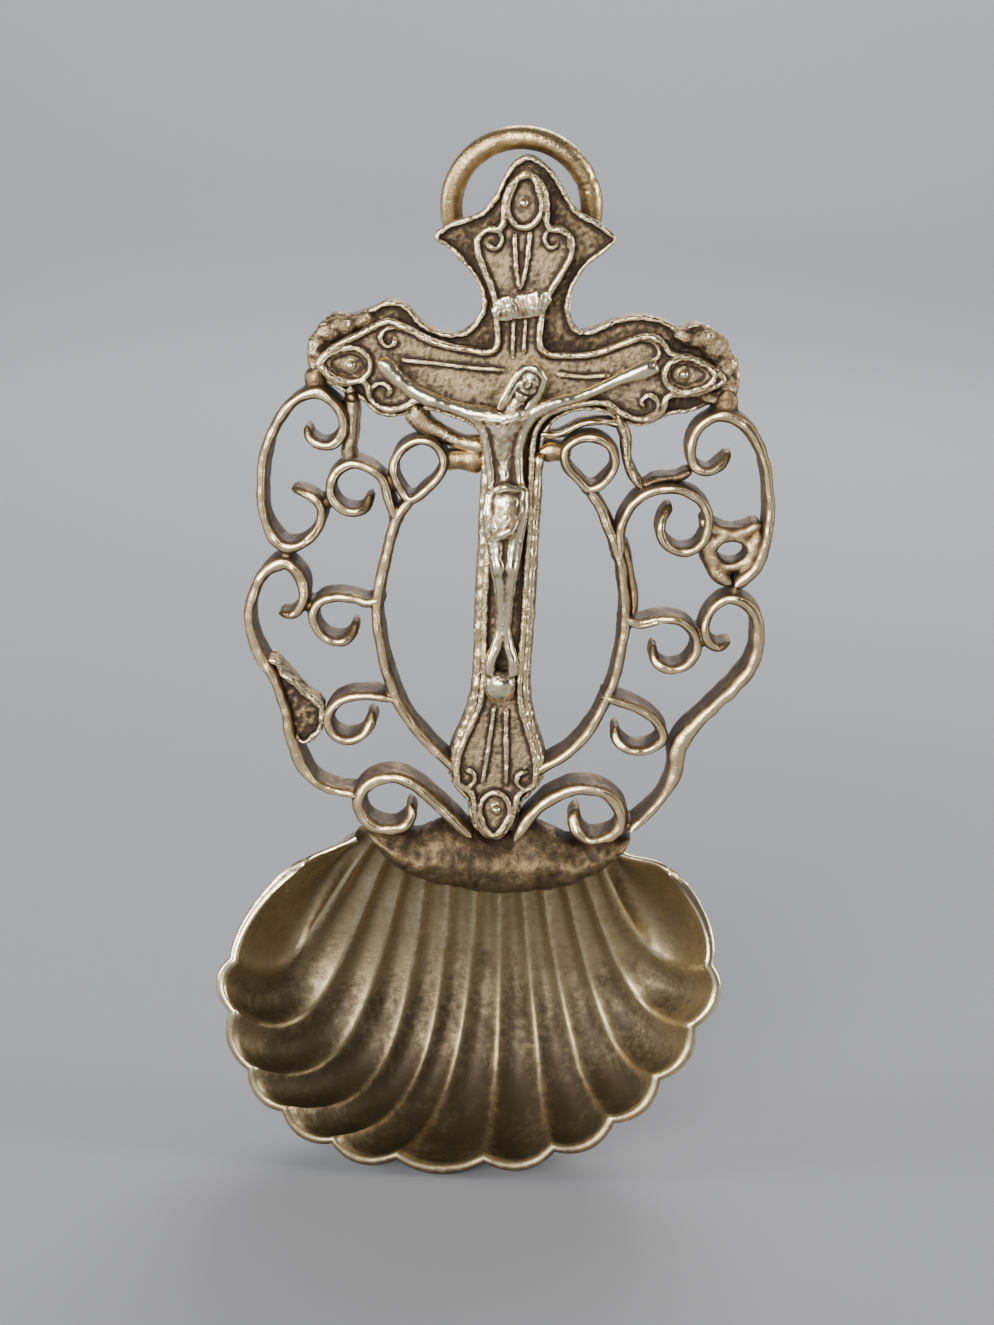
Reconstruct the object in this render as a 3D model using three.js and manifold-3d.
import * as THREE from "three";
import { mergeVertices } from "three/addons/utils/BufferGeometryUtils.js";
import Module from "manifold-3d";

const wasm = await Module();
wasm.setup();

// A small baptismal shell in silvered brass, in millimetres, hanging upright: +Z is up, the front looks along -Y,
// and the origin is the inside top of the hanging ring. Flat pieces are drawn as [x, z] or [x, z, width].

// Flat layers, counted forward from the back plane
const backDepth = 2;
const crossDepth = 3.9;
const stripDepth = 3.6;
const strutDepth = 2.4;
const webDepth = 2.9;
const collarDepth = 4.8;

// Strips
const stripWidth = 0.95;
const hoopWidth = 1.15;
const strutWidth = 1.3;
const loopWidth = 0.9;
const solderGap = 0.2;
const stripStep = 0.8;

// Hanging ring and its eyelet
const ringWire = 0.95;
const ringMean = 5.8;
const wireClearance = 0.3;
const eyeletBase = 1;
const eyeletWall = 0.85;
const eyeletWidth = 1;
const pendantShift = 0.3;

// Shell bowl
const lobeCount = 13;
const shellTop = -59.8;
const shellTopPitch = 1.78;
const shellMiddle = -0.6;
const shellWall = 0.8;
const wallInside = 0.45;
const rimTop = -2;
const rimTopHeight = -58;
const rimForward = 0.19;
const topDepth = 3;
const bowlDepth = 10.2;
const sideDepth = 0.6;
const fluteShare = 0.17;
const widestFlute = 6;
const stepsPerLobe = 5;
const stepsEndLobe = 8;
const stepsDown = 13;

// Figure, bosses and title ribbon
const bossRadius = 0.75;
const bossHeight = 0.7;
const ribbonWidth = 1.7;
const ribbonDepth = 0.6;
const limbSides = 10;

const silvered = { color: 0xb5a88c, roughness: 0.38, metalness: 1 };
const oldBrass = { color: 0x8f6f3c, roughness: 0.42, metalness: 1 };
const darkBrass = { color: 0x6b563a, roughness: 0.5, metalness: 1 };

const part = new THREE.Group();
// All but the ring and its eyelet hang a little to one side of the ring's middle.
const pendant = new THREE.Group();
pendant.position.x = pendantShift;
part.add(pendant);
// Drawings stand up in this group: their own z counts forward from the back plane.
const drawing = new THREE.Group();
drawing.rotation.x = Math.PI / 2;
pendant.add(drawing);

function addMesh(group, name, geometry, finish) {
  const mesh = new THREE.Mesh(geometry, new THREE.MeshStandardMaterial(finish));
  mesh.name = name;
  group.add(mesh);
  return mesh;
}

function solidOf(geometry) {
  const bare = geometry.clone();
  bare.deleteAttribute("normal");
  bare.deleteAttribute("uv");
  const merged = mergeVertices(bare, 1e-4);
  return new wasm.Manifold(
    new wasm.Mesh({
      numProp: 3,
      vertProperties: merged.attributes.position.array,
      triVerts: new Uint32Array(merged.index.array),
    }),
  );
}

function geometryOf(solid) {
  const mesh = solid.getMesh();
  const geometry = new THREE.BufferGeometry();
  geometry.setAttribute("position", new THREE.BufferAttribute(new Float32Array(mesh.vertProperties), 3));
  geometry.setIndex(new THREE.BufferAttribute(new Uint32Array(mesh.triVerts), 1));
  return geometry;
}

function largestBody(solid) {
  const bodies = solid.decompose();
  bodies.sort((a, b) => b.volume() - a.volume());
  return bodies[0];
}

// A smooth line through drawn points, with the width carried along it.
function smoothLine(points, width, closed = false) {
  const knots = points.map(([x, z, w]) => new THREE.Vector3(x, z, w ?? width));
  const curve = new THREE.CatmullRomCurve3(knots, closed, "centripetal");
  const steps = Math.max(4, Math.round(curve.getLength() / stripStep));
  const line = curve.getSpacedPoints(steps);
  if (closed) line.pop();
  return line;
}

function sideOf(line, closed, side) {
  return line.map((point, i) => {
    const last = line.length - 1;
    const before = line[i > 0 ? i - 1 : closed ? last : 0];
    const after = line[i < last ? i + 1 : closed ? 0 : last];
    const along = new THREE.Vector2(after.x - before.x, after.y - before.y).normalize();
    const reach = (side * point.z) / 2;
    return new THREE.Vector2(point.x - along.y * reach, point.y + along.x * reach);
  });
}

// A strip set on edge along an open line.
function stripShape(points, width = stripWidth) {
  const line = smoothLine(points, width);
  return new THREE.Shape([...sideOf(line, false, 1), ...sideOf(line, false, -1).reverse()]);
}

// A strip bent into a closed loop.
function loopShape(points, width = stripWidth) {
  const line = smoothLine(points, width, true);
  const sides = [1, -1].map((side) => sideOf(line, true, side));
  sides.sort((a, b) => Math.abs(THREE.ShapeUtils.area(b)) - Math.abs(THREE.ShapeUtils.area(a)));
  const shape = new THREE.Shape(sides[0]);
  shape.holes.push(new THREE.Path(sides[1].reverse()));
  return shape;
}

// An outline with rounded stretches between its drawn corners.
function plateShape(points, holes = []) {
  const shape = new THREE.Shape(points.map(([x, z]) => new THREE.Vector2(x, z)));
  for (const [x, z, halfWidth, halfHeight] of holes) {
    const hole = new THREE.Path();
    hole.absellipse(x, z, halfWidth, halfHeight, 0, 2 * Math.PI, false, 0);
    shape.holes.push(new THREE.Path(hole.getPoints(14).slice(0, -1)));
  }
  return shape;
}

function slab(shape, depth) {
  return new THREE.ExtrudeGeometry(shape, { depth, bevelEnabled: false });
}

// The room that a soldered neighbour keeps clear of a flat piece.
function roomFor(shape) {
  return solidOf(
    new THREE.ExtrudeGeometry(shape, {
      depth: collarDepth + 2,
      bevelEnabled: true,
      bevelSize: solderGap,
      bevelThickness: 0.05,
      bevelSegments: 1,
    }).translate(0, 0, -1),
  );
}

// Flat pieces go down in order: each is trimmed to clear those before it.
const laid = [];
function layDown(name, shape, depth, finish, trimmers = laid) {
  let solid = solidOf(slab(shape, depth));
  const reach = new THREE.Box2().setFromPoints(shape.getPoints()).expandByScalar(solderGap);
  for (const other of trimmers) {
    if (reach.intersectsBox(other.reach)) solid = solid.subtract(other.room);
  }
  addMesh(drawing, name, geometryOf(largestBody(solid)), finish);
  laid.push({ reach, room: roomFor(shape) });
}

// Cross in two layers
const stemHalf = 2.6;
const backOutline = [
  [0, -0.4], [1.1, -0.8], [2.2, -1.7], [2.9, -2.7], [3.6, -3.7], [4.4, -4.6], [5.8, -5.3], [7.6, -6.7],
  [6.4, -8], [5.2, -9.1], [4.5, -10.3], [4.1, -11.5], [4.1, -12.7], [4.5, -13.8], [5.2, -14.2], [6.1, -14],
  [8, -13.1], [9.9, -12.7], [11.9, -13], [13.2, -13.6], [14.6, -13.1], [15.9, -13.5], [17.1, -14.8],
  [18.2, -16.1], [18.5, -18.2], [17.9, -19.4], [16.2, -19.8], [14.6, -20.5], [12.7, -20.9], [10.6, -21.9],
  [8.4, -21.4], [7, -20.8], [4.6, -21.1], [3.3, -22], [stemHalf, -23.4], [stemHalf, -45.6], [3.2, -48.4],
  [4.1, -50.8], [4.2, -53], [3.4, -54.6], [2.5, -55.6], [2.1, -57.6], [1.1, -59], [-1.1, -59],
  [-2.1, -57.6], [-2.5, -55.8], [-3.4, -54.8], [-4.2, -53.4], [-4.2, -51], [-3.3, -48.6], [-stemHalf, -46],
  [-stemHalf, -23.8], [-3.6, -22.6], [-5.4, -21.9], [-7.9, -21.4], [-9.6, -22.1], [-11.6, -21.9],
  [-12.9, -20.8], [-14.2, -20.3], [-15.8, -19.6], [-17, -19], [-17.4, -17.8], [-17.2, -16.2], [-15.5, -13.9],
  [-13.8, -13.8], [-12.4, -13.3], [-10.7, -12.5], [-9.3, -12.9], [-8, -14.2], [-6.4, -14.9], [-4.6, -14.8],
  [-3.6, -13.8], [-3.1, -12.7], [-3.3, -11.4], [-3.8, -10.4], [-4.8, -9.3], [-5.8, -8.3], [-7.3, -7.2],
  [-6.1, -6.1], [-4.6, -5.5], [-3.6, -5.1], [-3.1, -4.6], [-2.5, -3.7], [-1.8, -2.1], [-1, -0.9],
];
const frontOutline = [
  [0, -1.7], [0.9, -2], [1.7, -3], [2, -4.6], [2.1, -5.8], [3.1, -5.9], [4.1, -6.7], [4.1, -8.1], [3.3, -9.9],
  [2.4, -11.5], [2, -13.3], [2.2, -15.7], [4.3, -15.9], [6.4, -15.6], [8.1, -14.9], [10.5, -14], [11.9, -14.5],
  [12.7, -15.4], [14, -15.5], [15.7, -16.2], [17.3, -17.5], [15.8, -18.6], [14, -19.1], [12.7, -19.2],
  [12.4, -20.4], [11.3, -21.2], [10, -21.3], [8.7, -20.8], [7.4, -20.1], [4.6, -20.5], [2.8, -21.3],
  [2, -22.7], [1.9, -45.6], [2.6, -48.2], [3.4, -50.6], [3.6, -52.4], [3.4, -53.8], [2.3, -54.5], [2, -55.6],
  [1.6, -57.4], [0.7, -58.6], [-0.7, -58.6], [-1.6, -57.4], [-2, -56], [-2.3, -54.7], [-3.4, -54],
  [-3.7, -52.6], [-3.5, -50.8], [-2.7, -48.5], [-1.9, -46], [-1.9, -22.9], [-3.4, -21.8], [-5.6, -21.1],
  [-8, -20.6], [-8.7, -21], [-9.9, -21.5], [-11.1, -21.4], [-12.2, -20.7], [-12.6, -19.3], [-14.2, -19.6],
  [-15.6, -19], [-16.6, -17.8], [-15.7, -16.6], [-14.6, -15.8], [-13.4, -15.2], [-12, -14.4], [-10.7, -13.8],
  [-9.4, -14.2], [-7.1, -15.3], [-4.4, -15.8], [-2.1, -15.8], [-2.1, -13.4], [-2.4, -11.6], [-3.2, -9.8],
  [-3.9, -8.1], [-3.9, -6.9], [-3, -6.1], [-2, -6], [-1.9, -4.6], [-1.6, -3.1], [-0.9, -2.1],
];

function buildCross() {
  layDown("back_plate", plateShape(backOutline), backDepth, darkBrass, []);
  const front = slab(plateShape(frontOutline), crossDepth - backDepth);
  addMesh(drawing, "front_cross", front, silvered).position.z = backDepth;
  laid.push({
    reach: new THREE.Box2().setFromPoints(plateShape(frontOutline).getPoints()),
    room: roomFor(plateShape(frontOutline)),
  });
}

// Openwork frame, each strip along its own line
function buildFrame() {
  layDown("hoop_left", stripShape([
    [-8.4, -28.9], [-9.4, -30.4], [-9.9, -32.2], [-10.4, -34.5], [-10.8, -36.9], [-10.9, -39], [-10.6, -41],
    [-10.2, -43], [-9.5, -45.1], [-8.4, -47.5], [-6.5, -49.9], [-5, -51.4], [-3.6, -52.6]],
  hoopWidth), stripDepth, silvered);
  layDown("hoop_right", stripShape([
    [6.6, -27.4], [7.8, -29.2], [8.9, -31.6], [9.7, -33.9], [10.1, -36.4], [10.3, -39], [10.1, -41.2],
    [9.7, -43.7], [9, -46], [7.9, -48.4], [6.4, -50.3], [4.9, -51.5], [3.6, -52.4]],
  hoopWidth), stripDepth, silvered);
  layDown("loop_left", loopShape([
    [-8.4, -28.9], [-9.5, -27.7], [-9.9, -26.2], [-9.4, -24.8], [-8.1, -23.9], [-6.8, -24],
    [-5.9, -24.9], [-5.8, -26.1], [-6.6, -27.4]], loopWidth), stripDepth, silvered);
  layDown("loop_right", loopShape([
    [6.5, -27.2], [5.4, -26.3], [4.5, -25.3], [4.4, -24], [5.4, -23.1], [6.9, -22.9], [8.1, -23.6],
    [8.6, -24.9], [8.1, -26.1], [7.3, -27]], loopWidth), stripDepth, silvered);
  layDown("outer_upper_scroll_left", stripShape([
    [-17.3, -23.1, 0.7], [-17.1, -24], [-16.2, -24.6], [-15.1, -24.5], [-14.3, -23.5], [-14.3, -22.2],
    [-15.1, -21], [-16.5, -20.2, 1.2], [-18.1, -20.9], [-19.6, -22.7], [-20.6, -25.2], [-20.9, -27.6],
    [-20.9, -29.8], [-20.5, -31.5], [-19.7, -32.9, 1.2], [-18.7, -33.5, 1.2], [-17.6, -33.2], [-16.5, -32.3],
    [-15.9, -31], [-15.9, -29.9], [-16.9, -29], [-18.5, -28.6, 0.7]]), stripDepth, silvered);
  layDown("outer_upper_scroll_right", stripShape([
    [19.4, -34.9, 1.3], [21, -33.4, 1.2], [21.7, -31.2], [21.8, -28.4], [21.4, -25.6], [20.6, -23.2],
    [19.2, -21.3, 1.2], [17.6, -20.5, 1.2], [15.9, -21], [15, -22.2], [14.8, -23.6], [15.2, -24.8],
    [16.3, -25.3], [17.4, -24.7], [18.2, -23.6, 0.7]]), stripDepth, silvered);
  layDown("outer_lower_scroll_left", stripShape([
    [-12.6, -55.3], [-14, -55.2], [-15.9, -54.4], [-17, -53, 1.2], [-18, -50.6, 1.1], [-18.6, -47.9], [-19.6, -45.2],
    [-20.9, -43.1, 1.2], [-21.7, -41], [-21.8, -39.1], [-21.2, -37], [-20.2, -35.5, 1.2], [-18.9, -34.9, 1.3],
    [-17.7, -35.8, 1.2], [-17.2, -37.1, 1.2], [-17.3, -38.4], [-18, -39.4], [-19.4, -39.6, 0.7]]), stripDepth, silvered);
  layDown("outer_lower_scroll_right", stripShape([
    [12.2, -57.2], [13.6, -55.7], [14.9, -53.8], [15.6, -51.9, 1.4], [15.6, -49.9, 1.7], [16.6, -48, 1.5],
    [18.4, -45.8, 1.2], [20.2, -43.8, 1.3], [21.4, -41.9, 1.2], [21.8, -39.6, 1.2], [21.4, -37.6, 1.2],
    [20.2, -36.3, 1.2], [18.8, -36.2], [17.6, -37.2], [17.1, -38.7], [17.5, -40], [18.5, -40.5],
    [19.5, -40, 0.7]]), stripDepth, silvered);
  layDown("upper_inner_scroll_left", stripShape([
    [-9.6, -30.4], [-10.3, -28.6], [-10.8, -27.3], [-11.9, -26.4], [-13.2, -26.1], [-14.4, -26.6],
    [-15.1, -27.7], [-15.1, -28.9], [-14.4, -29.8], [-13.3, -30.2], [-12.2, -29.9], [-11.8, -28.7, 0.7]]),
  stripDepth, silvered);
  layDown("upper_inner_scroll_right", stripShape([
    [9.5, -32.6], [9.4, -31], [9.6, -29.7], [10.3, -28.3], [11.5, -27.3], [13, -26.9], [14.6, -27],
    [15.9, -27.7], [16.7, -29.1], [16.7, -30.6], [15.9, -31.8], [14.6, -32.2], [13.4, -31.7],
    [12.8, -30.6], [12.9, -29.5], [13.6, -28.4, 0.8]]), stripDepth, silvered);
  layDown("middle_inner_scroll_left", stripShape([
    [-10.8, -37.7], [-11.8, -38], [-13, -37.7], [-14.4, -37.6], [-15.8, -38.1], [-16.4, -39.3], [-15.9, -40.7],
    [-14.8, -41.5], [-13.6, -41.5], [-12.9, -40.8], [-12.8, -39.9, 0.7]]), stripDepth, silvered);
  layDown("middle_inner_scroll_right", stripShape([
    [10.1, -38.3], [11.6, -38.7], [13.2, -38.2], [15, -38.3], [16.3, -39.4], [16.5, -41], [15.7, -42.2],
    [14.3, -42.6], [13.1, -41.9], [12.9, -40.6, 0.7]]), stripDepth, silvered);
  layDown("lower_inner_scroll_left", stripShape([
    [-9.3, -46.5], [-11.6, -46.3], [-13.3, -46.6], [-14.5, -47.6], [-14.9, -48.9], [-14.3, -50], [-13, -50.4],
    [-11.7, -49.8], [-11.1, -48.7, 1.1], [-11.2, -47.9, 0.9]]), stripDepth, silvered);
  layDown("lower_inner_scroll_right", stripShape([
    [8.9, -45.3], [10.2, -45.7], [12, -46.3], [13.5, -47.3], [14.3, -48.8], [13.1, -49.9], [11.4, -50],
    [10.3, -49.2], [10.1, -48.1, 0.7]]), stripDepth, silvered);
  layDown("bottom_volute_left", stripShape([
    [-2.2, -58.9], [-4, -57], [-5.4, -55.7], [-7, -54.4, 1.2], [-8.6, -53.7, 1.2], [-10.2, -53.9, 1.2],
    [-11.5, -54.8, 1.2], [-12, -56.2, 1.2], [-11.6, -57.4, 1.2], [-10.6, -58.3, 1.2], [-9.2, -58.6, 1.2],
    [-7.9, -58.1, 1.2], [-7.3, -57.1, 1.1], [-7.6, -56.2, 0.8]]), stripDepth, silvered);
  layDown("bottom_volute_right", stripShape([
    [2.2, -58.9], [3.1, -56.8], [4.3, -55.4], [5.9, -54.3, 1.2], [7.9, -53.8, 1.2], [9.8, -54.3, 1.2],
    [11, -55.7, 1.2], [11.1, -57.3, 1.2], [10, -58.4, 1.2], [8.5, -58.6], [7.4, -57.9], [7, -56.8],
    [7.3, -55.9, 0.7]]), stripDepth, silvered);
}

// Struts, posts and webs that tie the frame to the cross, set a little back
function buildTies() {
  layDown("arm_strut_left", stripShape([
    [-8.4, -21.4, 1.7], [-7.5, -22.7, 1.7], [-6, -23.4, 1], [-4.3, -24, 1], [-2.4, -24.3, 1.3]],
  strutWidth), strutDepth, darkBrass);
  layDown("arm_strut_right", stripShape([
    [8.6, -21.2], [9.3, -22.8, 1], [9.6, -24.6, 0.9], [10.2, -26, 1], [11, -27, 1]], strutWidth), strutDepth, darkBrass);
  layDown("arm_arch_right", stripShape([
    [2.4, -22.9], [3.8, -22.9], [5.7, -21.9], [7.4, -21.6], [8.8, -21.9]], 0.7), strutDepth, darkBrass);
  layDown("stem_bridge_left", stripShape([
    [-2.4, -25.4], [-3.9, -25.4], [-5.6, -25.6]], strutWidth), strutDepth, oldBrass);
  layDown("stem_bridge_right", stripShape([
    [2.4, -24.4], [3.5, -24.4], [4.8, -24.4]], strutWidth), strutDepth, oldBrass);
  layDown("scroll_post_left", stripShape([
    [-13.7, -19.9], [-13.6, -22], [-13.6, -24], [-13.8, -25.2], [-13.3, -26.4]], 0.8), strutDepth, darkBrass);
  layDown("leaf_web_left", plateShape([
    [-20.5, -43.6], [-19.6, -43.5], [-18.7, -44.6], [-17.6, -45.7], [-16.5, -46.7], [-15.4, -47.5],
    [-15.4, -48.8], [-16, -50.2], [-17, -50.9], [-18, -50.9], [-18.6, -48.2], [-19.6, -45.6]]), webDepth, darkBrass);
  layDown("lobe_web_right", plateShape([
    [16.2, -29.4], [18.4, -30], [21.4, -29], [21.6, -31.2], [20.8, -33.4], [19.4, -34.9], [18, -34.4],
    [17, -32.9], [16.3, -31.2]], [[18.9, -32.1, 1.05, 0.7]]), webDepth, darkBrass);
}

// A round tapering form through rings [x, y, z, half width, half depth]
function limb(rings, sides = limbSides) {
  const centres = rings.map(([x, y, z]) => new THREE.Vector3(x, y, z));
  const positions = [];
  const faces = [];
  rings.forEach(([, , , halfWidth, halfDepth], i) => {
    const before = centres[Math.max(0, i - 1)];
    const after = centres[Math.min(centres.length - 1, i + 1)];
    const along = after.clone().sub(before).normalize();
    const forward = new THREE.Vector3(0, -1, 0).addScaledVector(along, along.y).normalize();
    const across = new THREE.Vector3().crossVectors(along, forward);
    for (let j = 0; j < sides; j++) {
      const turn = (2 * Math.PI * j) / sides;
      const point = centres[i].clone();
      point.addScaledVector(across, halfWidth * Math.cos(turn));
      point.addScaledVector(forward, halfDepth * Math.sin(turn));
      positions.push(...point.toArray());
    }
  });
  const at = (i, j) => i * sides + (j % sides);
  for (let i = 0; i < rings.length - 1; i++) {
    for (let j = 0; j < sides; j++) {
      faces.push(at(i, j), at(i + 1, j + 1), at(i, j + 1), at(i, j), at(i + 1, j), at(i + 1, j + 1));
    }
  }
  const last = rings.length - 1;
  for (let j = 1; j < sides - 1; j++) {
    faces.push(at(0, 0), at(0, j), at(0, j + 1), at(last, 0), at(last, j + 1), at(last, j));
  }
  const geometry = new THREE.BufferGeometry();
  geometry.setAttribute("position", new THREE.Float32BufferAttribute(positions, 3));
  geometry.setIndex(faces);
  const solid = solidOf(geometry);
  if (solid.volume() > 0) return solid;
  for (let i = 0; i < faces.length; i += 3) [faces[i], faces[i + 1]] = [faces[i + 1], faces[i]];
  geometry.setIndex(faces);
  return solidOf(geometry);
}

// The figure lies on the front of the cross and is cut flat there.
function buildFigure() {
  const front = -crossDepth;
  const body = limb([
    [-0.7, front - 0.3, -20.5, 1.7, 0.8], [-0.7, front - 0.5, -21.3, 2.1, 1.2], [-0.6, front - 0.6, -23, 2, 1.5],
    [-0.5, front - 0.6, -25, 1.7, 1.5], [-0.4, front - 0.5, -26.8, 1.4, 1.3], [-0.2, front - 0.5, -28, 1.7, 1.6],
    [0, front - 0.6, -30, 1.8, 1.8], [0.1, front - 0.6, -32, 1.6, 1.9], [0.2, front - 0.6, -34, 1.2, 2],
    [0, front - 0.4, -36.5, 1, 1.5], [-0.1, front - 0.3, -39, 0.8, 1.1], [-0.2, front - 0.3, -41, 1, 1.1],
    [-0.2, front - 0.3, -42.6, 1.2, 1.4], [-0.1, front - 0.2, -45.3, 1, 0.8],
  ]);
  const leftArm = limb([
    [-11.1, front - 0.2, -17.3, 0.5, 0.5], [-10.4, front - 0.3, -18.1, 0.65, 0.6], [-9.3, front - 0.3, -19.2, 0.55, 0.6],
    [-7.6, front - 0.4, -20.1, 0.6, 0.7], [-5.2, front - 0.5, -20.8, 0.7, 0.8], [-1.6, front - 0.5, -21.5, 0.9, 0.9],
  ]);
  const rightArm = limb([
    [11.4, front - 0.2, -16.8, 0.5, 0.5], [10.3, front - 0.3, -17, 0.7, 0.6], [8.8, front - 0.3, -17.7, 0.55, 0.6],
    [6.3, front - 0.4, -19, 0.6, 0.7], [4, front - 0.5, -19.9, 0.7, 0.8], [0.4, front - 0.5, -21.2, 0.9, 0.9],
  ]);
  const head = limb([
    [1.6, front - 0.9, -16.1, 0.6, 0.7], [1.3, front - 1, -16.8, 1.5, 1.4], [0.8, front - 1, -18, 1.6, 1.6],
    [0.3, front - 0.8, -19.3, 1.3, 1.3], [-0.1, front - 0.5, -20.6, 1, 1], [-0.4, front - 0.4, -21.6, 0.9, 0.8],
  ]);
  const whole = body.add(leftArm).add(rightArm).add(head);
  const behind = new THREE.BoxGeometry(60, 20, 80).translate(0, front + 10, -30);
  addMesh(pendant, "corpus_figure", geometryOf(whole.subtract(solidOf(behind))), silvered);
}

function buildTrim() {
  const dome = [[0, 0], [bossRadius, 0], [bossRadius * 0.95, bossHeight * 0.35], [bossRadius * 0.7, bossHeight * 0.75],
    [bossRadius * 0.35, bossHeight * 0.95], [0, bossHeight]];
  const bossPlaces = { top: [-0.1, -4], left: [-13.8, -17.7], right: [13.7, -17.2], foot: [0.1, -56] };
  for (const [name, [x, z]] of Object.entries(bossPlaces)) {
    const boss = new THREE.LatheGeometry(dome.map(([r, h]) => new THREE.Vector2(r, h)), 12);
    boss.rotateX(Math.PI / 2);
    addMesh(drawing, "boss_" + name, boss, silvered).position.set(x, z, crossDepth);
  }
  const ribbon = stripShape([[-2.1, -13.1], [-0.9, -12.5], [0.5, -12.4], [1.9, -11.9]], ribbonWidth);
  addMesh(drawing, "title_ribbon", slab(ribbon, ribbonDepth), silvered).position.z = crossDepth;
}

// Ring and eyelet: the ring leans forward on the eyelet until it all but rests on the back of the finial.
const pivotBack = eyeletBase + wireClearance + ringWire;
const topToPivot = 2 * ringMean - ringWire;
const ringLean = Math.asin(pivotBack / topToPivot);
const pivotDown = topToPivot * Math.cos(ringLean);

function buildHanger() {
  const ring = new THREE.TorusGeometry(ringMean, ringWire, 10, 44);
  ring.rotateX(Math.PI / 2);
  ring.translate(0, 0, ringMean);
  const hinge = new THREE.Group();
  hinge.position.set(0, pivotBack, -pivotDown);
  hinge.rotation.x = ringLean;
  part.add(hinge);
  addMesh(hinge, "hang_ring", geometryOf(solidOf(ring)), oldBrass);

  const holeRadius = ringWire + wireClearance;
  const outside = holeRadius + eyeletWall;
  const lug = new THREE.Shape();
  lug.moveTo(-outside, 0);
  lug.lineTo(outside, 0);
  lug.lineTo(outside, pivotBack);
  lug.absarc(0, pivotBack, outside, 0, Math.PI, false);
  lug.lineTo(-outside, 0);
  const hole = new THREE.Path();
  hole.absarc(0, pivotBack, holeRadius, 0, 2 * Math.PI, true);
  lug.holes.push(hole);
  const eyelet = new THREE.ExtrudeGeometry(lug, { depth: eyeletWidth, bevelEnabled: false, curveSegments: 12 });
  eyelet.translate(0, 0, -eyeletWidth / 2);
  // The lug's outline runs along Z and stands back along Y.
  const turned = new THREE.Matrix4().makeBasis(
    new THREE.Vector3(0, 0, 1), new THREE.Vector3(0, 1, 0), new THREE.Vector3(-1, 0, 0));
  eyelet.applyMatrix4(turned);
  addMesh(part, "ring_eyelet", eyelet, oldBrass).position.z = -pivotDown;
}

// Shell bowl: t counts lobes from the middle one, s runs from the top edge at 0 to the rim at 1.
const lobeReach = lobeCount / 2;
// Each open end and each of the twelve ridges, from left to right: where it meets the rim, and where it passes
// two thirds and one third of the way down to it.
const rimKnots = [
  [-16.6, -61.9], [-22.7, -71.1], [-22.5, -75.8], [-20.7, -80.8], [-17.5, -84.3], [-13, -86.9], [-7.2, -88],
  [0.6, -87.9], [6.8, -86.6], [11.9, -83.8], [15.8, -79.8], [18.6, -75], [19.8, -69.5], [15.7, -61.1],
];
const lowKnots = [
  [-15, -61.1], [-19, -74.4], [-16.6, -79], [-13.2, -82.2], [-9.3, -84], [-5.8, -84.6], [-2.7, -84.6],
  [1.4, -84.2], [5.4, -83.4], [8.8, -82], [11.9, -79.8], [14.7, -76.4], [16.9, -72.2], [14.1, -60.5],
];
const highKnots = [
  [-13.4, -60.4], [-15.6, -69.6], [-12.6, -71.2], [-9.6, -71.8], [-6.8, -72], [-4.1, -72], [-1.5, -72],
  [1.1, -71.8], [3.7, -71.6], [6, -71.4], [8.6, -71.1], [11, -70.4], [13.2, -68.8], [12.6, -60.3],
];
const [rimLine, lowLine, highLine] = [rimKnots, lowKnots, highKnots].map(
  (knots) => new THREE.CatmullRomCurve3(knots.map(([x, z]) => new THREE.Vector3(x, 0, z)), false, "catmullrom", 0.5),
);

function shellBase(t, s) {
  const across = (t + lobeReach) / lobeCount;
  // The end lobes turn up towards their open edges.
  const open = THREE.MathUtils.clamp(lobeReach - Math.abs(t), 0, 1);
  const dish = Math.sin((Math.PI / 2) * open) ** 0.8;
  const depth = dish * THREE.MathUtils.lerp(sideDepth, 1, Math.cos((Math.PI * t) / lobeCount));
  const behindRim = (point, deep) => {
    point.y = rimTop + rimForward * (point.z - rimTopHeight) + deep * depth;
    return point;
  };
  const top = behindRim(new THREE.Vector3(shellMiddle + shellTopPitch * t, 0, shellTop), topDepth);
  const high = behindRim(highLine.getPoint(across), bowlDepth);
  const low = behindRim(lowLine.getPoint(across), bowlDepth);
  const rim = behindRim(rimLine.getPoint(across), 0);
  const mix = (a, b, c, d) => new THREE.Vector3()
    .addScaledVector(top, a).addScaledVector(high, b).addScaledVector(low, c).addScaledVector(rim, d)
    .divideScalar(6);
  return new THREE.CubicBezierCurve3(top, mix(-5, 18, -9, 2), mix(2, -9, 18, -5), rim).getPoint(s);
}

function shellPoint(t, s, offset) {
  const tiny = 0.004;
  const t0 = THREE.MathUtils.clamp(t, -lobeReach + tiny, lobeReach - tiny);
  const s0 = THREE.MathUtils.clamp(s, tiny, 1 - tiny);
  const acrossStep = shellBase(t0 + tiny, s0).sub(shellBase(t0 - tiny, s0)).divideScalar(2 * tiny);
  const downStep = shellBase(t0, s0 + tiny).sub(shellBase(t0, s0 - tiny));
  const normal = new THREE.Vector3().crossVectors(acrossStep, downStep).normalize();
  const fromMiddle = t - Math.round(t);
  const rounded = 0.5 + 0.5 * Math.cos(2 * Math.PI * fromMiddle);
  const scooped = 1 - 4 * fromMiddle * fromMiddle;
  const flute = fluteShare * Math.min(acrossStep.length(), widestFlute) * THREE.MathUtils.lerp(rounded, scooped, s);
  return shellBase(t, s).addScaledVector(normal, flute + offset);
}

function lobeSteps() {
  const steps = [];
  for (let lobe = 0; lobe < lobeCount; lobe++) {
    const count = lobe === 0 || lobe === lobeCount - 1 ? stepsEndLobe : stepsPerLobe;
    for (let k = 0; k < count; k++) steps.push(lobe - lobeReach + k / count);
  }
  return [...steps, lobeReach];
}

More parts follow.
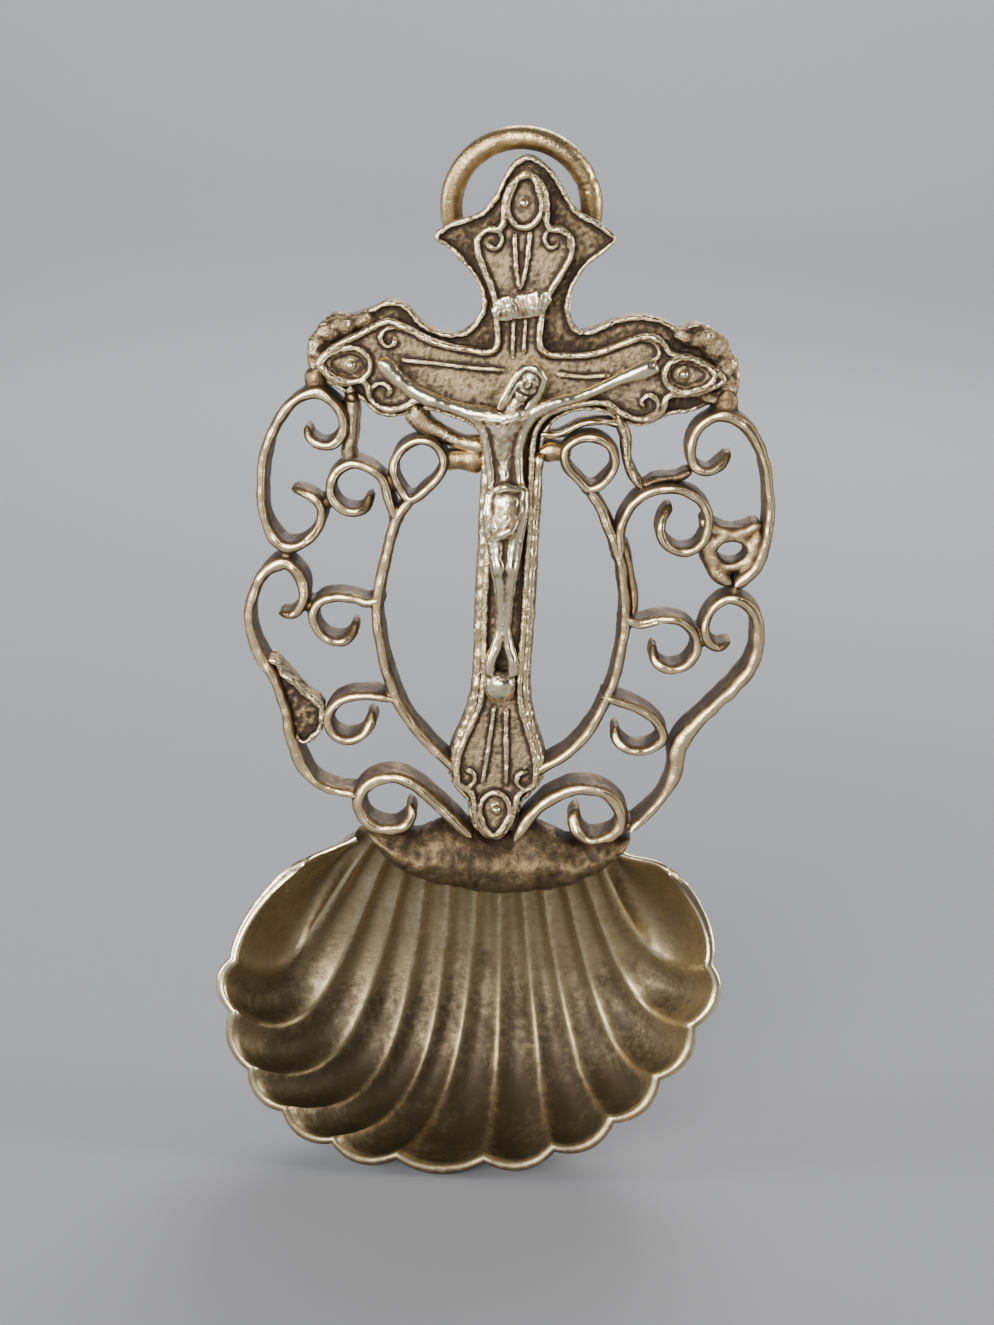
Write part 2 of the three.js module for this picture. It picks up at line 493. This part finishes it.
function shellSolid(grow) {
  const steps = lobeSteps();
  const positions = [];
  const faces = [];
  for (const offset of [-wallInside - grow, shellWall - wallInside + grow]) {
    for (const t of steps) {
      for (let j = 0; j <= stepsDown; j++) positions.push(...shellPoint(t, j / stepsDown, offset).toArray());
    }
  }
  const across = steps.length - 1;
  const row = stepsDown + 1;
  const layer = (across + 1) * row;
  const at = (k, i, j) => k * layer + i * row + j;
  const quad = (a, b, c, d) => faces.push(a, c, b, a, d, c);
  for (let i = 0; i < across; i++) {
    for (let j = 0; j < stepsDown; j++) {
      quad(at(0, i, j), at(0, i + 1, j), at(0, i + 1, j + 1), at(0, i, j + 1));
      quad(at(1, i, j), at(1, i, j + 1), at(1, i + 1, j + 1), at(1, i + 1, j));
    }
    quad(at(0, i, 0), at(1, i, 0), at(1, i + 1, 0), at(0, i + 1, 0));
    quad(at(0, i, stepsDown), at(0, i + 1, stepsDown), at(1, i + 1, stepsDown), at(1, i, stepsDown));
  }
  for (let j = 0; j < stepsDown; j++) {
    quad(at(0, 0, j), at(0, 0, j + 1), at(1, 0, j + 1), at(1, 0, j));
    quad(at(0, across, j), at(1, across, j), at(1, across, j + 1), at(0, across, j + 1));
  }
  const geometry = new THREE.BufferGeometry();
  geometry.setAttribute("position", new THREE.Float32BufferAttribute(positions, 3));
  geometry.setIndex(faces);
  return solidOf(geometry);
}

function buildShell() {
  addMesh(pendant, "shell_bowl", geometryOf(shellSolid(0)), silvered);
}

// The collar lies across the top of the bowl, trimmed to clear it and the frame above.
function buildCollar() {
  const crescent = plateShape([
    [-10.4, -59.1], [-5, -58.9], [0, -58.9], [6, -58.9], [11.6, -59], [11.3, -60], [8.6, -61.7], [6.5, -62.7],
    [3, -63.6], [-0.7, -63.7], [-4.4, -63.3], [-7.1, -62.3], [-9, -60.8], [-10.3, -59.9]]);
  const round = 0.7;
  let collar = solidOf(new THREE.ExtrudeGeometry(crescent, {
    depth: collarDepth - 2 * round,
    bevelEnabled: true,
    bevelThickness: round,
    bevelSize: round,
    bevelOffset: -round / 2,
    bevelSegments: 2,
  }).translate(0, 0, round));
  for (const other of laid) collar = collar.subtract(other.room);
  const upright = geometryOf(collar).rotateX(Math.PI / 2);
  let seated = solidOf(upright);
  for (const [across, up] of [[0, solderGap], [solderGap, 0], [-solderGap, 0]]) {
    seated = seated.subtract(shellSolid(solderGap).translate([across, 0, up]));
  }
  addMesh(pendant, "shell_collar", geometryOf(largestBody(seated)), oldBrass);
}

buildCross();
buildFrame();
buildTies();
buildFigure();
buildTrim();
buildHanger();
buildShell();
buildCollar();

export default part;
